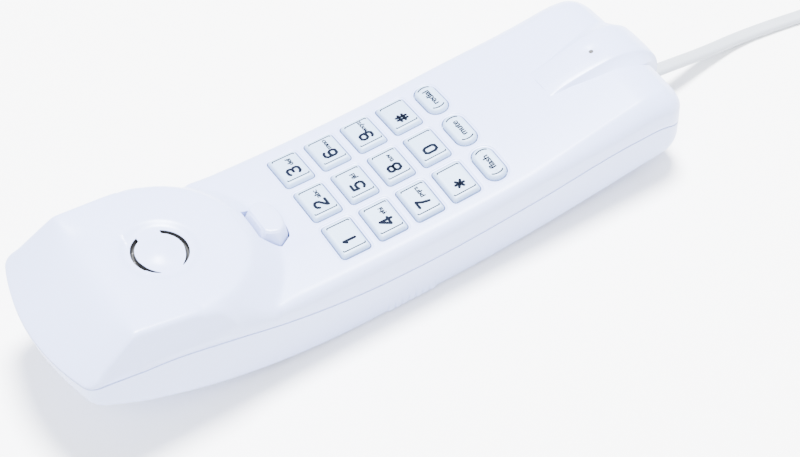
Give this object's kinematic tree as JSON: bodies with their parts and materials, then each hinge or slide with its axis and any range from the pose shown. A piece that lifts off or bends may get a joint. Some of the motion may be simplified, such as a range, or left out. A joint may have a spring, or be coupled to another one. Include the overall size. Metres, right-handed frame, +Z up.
{
  "type": "slimline one-piece telephone handset",
  "caption": "One-piece slimline telephone: earpiece, keypad and mouthpiece in one handset with a hook tab, on a flat line cord with a modular plug.",
  "frame": {"origin": "on the surface the phone lies on, under the middle of the handset", "axes": "+Y along the handset to the earpiece, +X to the side of keys 3, 6, 9 and #, +Z up out of the keypad"},
  "size_m": [0.1013, 0.3553, 0.047],
  "materials": {
    "shell": "smooth pale bluish white",
    "key": "pale grey-blue",
    "mat": "silicone",
    "board": "green fibreglass",
    "component": "moulded black",
    "steel": "bright zinc plate",
    "black_plastic": "black",
    "foam": "soft foam",
    "boot": "soft black",
    "mic": "satin can",
    "brass": "bare",
    "cord": "white flexible sheath",
    "clear": "clear moulded plastic"
  },
  "bodies": {
    "handset": {"upper_shell": "shell", "lower_shell": "shell", "main_board": "board", "board_components": "component", "key_mat": "mat", "hook_pin": "steel", "hook_spring": "steel", "hook_switch": "black_plastic", "receiver_capsule": "black_plastic", "receiver_gasket": "foam", "receiver_retainer": "steel", "receiver_screws": "steel", "board_screws": "steel", "case_screws": "steel", "microphone_boot": "boot", "microphone_capsule": "mic", "ringer_disc": "brass", "line_jack": "black_plastic", "cord_plug": "clear", "line_cord": "cord", "line_cord_coil": "cord", "wall_plug": "clear"},
    "hook": {"hook_lever": "shell"},
    "key_1_cap": {"key_1": "key"},
    "key_2_cap": {"key_2": "key"},
    "key_3_cap": {"key_3": "key"},
    "key_4_cap": {"key_4": "key"},
    "key_5_cap": {"key_5": "key"},
    "key_6_cap": {"key_6": "key"},
    "key_7_cap": {"key_7": "key"},
    "key_8_cap": {"key_8": "key"},
    "key_9_cap": {"key_9": "key"},
    "key_star_cap": {"key_star": "key"},
    "key_0_cap": {"key_0": "key"},
    "key_hash_cap": {"key_hash": "key"},
    "key_flash_cap": {"key_flash": "key"},
    "key_mute_cap": {"key_mute": "key"},
    "key_redial_cap": {"key_redial": "key"}
  },
  "joints": [
    {"name": "key_1_press", "type": "slide", "parent": "handset", "child": "key_1_cap", "axis": [0.0607, 0.0308, -0.9977], "range_m": [0, 0.001], "stiffness_N_per_m": 900, "springref_m": -0.0006, "deforming": ["key_mat"]},
    {"name": "key_2_press", "type": "slide", "parent": "handset", "child": "key_2_cap", "axis": [0, 0.0309, -0.9995], "range_m": [0, 0.001], "stiffness_N_per_m": 900, "springref_m": -0.0006, "deforming": ["key_mat"]},
    {"name": "key_3_press", "type": "slide", "parent": "handset", "child": "key_3_cap", "axis": [-0.0607, 0.0308, -0.9977], "range_m": [0, 0.001], "stiffness_N_per_m": 900, "springref_m": -0.0006, "deforming": ["key_mat"]},
    {"name": "key_4_press", "type": "slide", "parent": "handset", "child": "key_4_cap", "axis": [0.0607, 0.0103, -0.9981], "range_m": [0, 0.001], "stiffness_N_per_m": 900, "springref_m": -0.0006, "deforming": ["key_mat"]},
    {"name": "key_5_press", "type": "slide", "parent": "handset", "child": "key_5_cap", "axis": [0, 0.0103, -0.9999], "range_m": [0, 0.001], "stiffness_N_per_m": 900, "springref_m": -0.0006, "deforming": ["key_mat"]},
    {"name": "key_6_press", "type": "slide", "parent": "handset", "child": "key_6_cap", "axis": [-0.0607, 0.0103, -0.9981], "range_m": [0, 0.001], "stiffness_N_per_m": 900, "springref_m": -0.0006, "deforming": ["key_mat"]},
    {"name": "key_7_press", "type": "slide", "parent": "handset", "child": "key_7_cap", "axis": [0.0607, -0.0103, -0.9981], "range_m": [0, 0.001], "stiffness_N_per_m": 900, "springref_m": -0.0006, "deforming": ["key_mat"]},
    {"name": "key_8_press", "type": "slide", "parent": "handset", "child": "key_8_cap", "axis": [0, -0.0103, -0.9999], "range_m": [0, 0.001], "stiffness_N_per_m": 900, "springref_m": -0.0006, "deforming": ["key_mat"]},
    {"name": "key_9_press", "type": "slide", "parent": "handset", "child": "key_9_cap", "axis": [-0.0607, -0.0103, -0.9981], "range_m": [0, 0.001], "stiffness_N_per_m": 900, "springref_m": -0.0006, "deforming": ["key_mat"]},
    {"name": "key_star_press", "type": "slide", "parent": "handset", "child": "key_star_cap", "axis": [0.0607, -0.0308, -0.9977], "range_m": [0, 0.001], "stiffness_N_per_m": 900, "springref_m": -0.0006, "deforming": ["key_mat"]},
    {"name": "key_0_press", "type": "slide", "parent": "handset", "child": "key_0_cap", "axis": [0, -0.0309, -0.9995], "range_m": [0, 0.001], "stiffness_N_per_m": 900, "springref_m": -0.0006, "deforming": ["key_mat"]},
    {"name": "key_hash_press", "type": "slide", "parent": "handset", "child": "key_hash_cap", "axis": [-0.0607, -0.0308, -0.9977], "range_m": [0, 0.001], "stiffness_N_per_m": 900, "springref_m": -0.0006, "deforming": ["key_mat"]},
    {"name": "key_flash_press", "type": "slide", "parent": "handset", "child": "key_flash_cap", "axis": [0.0606, -0.0498, -0.9969], "range_m": [0, 0.001], "stiffness_N_per_m": 900, "springref_m": -0.0006, "deforming": ["key_mat"]},
    {"name": "key_mute_press", "type": "slide", "parent": "handset", "child": "key_mute_cap", "axis": [0, -0.0499, -0.9988], "range_m": [0, 0.001], "stiffness_N_per_m": 900, "springref_m": -0.0006, "deforming": ["key_mat"]},
    {"name": "key_redial_press", "type": "slide", "parent": "handset", "child": "key_redial_cap", "axis": [-0.0606, -0.0498, -0.9969], "range_m": [0, 0.001], "stiffness_N_per_m": 900, "springref_m": -0.0006, "deforming": ["key_mat"]},
    {"name": "hook_press", "type": "hinge", "parent": "handset", "child": "hook", "pos_m": [0, 0.047, 0.0315], "axis": [1, 0, 0], "range_deg": [0, 8], "stiffness_Nm_per_rad": 0.12, "springref_deg": -8.59, "deforming": ["hook_spring"]}
  ]
}
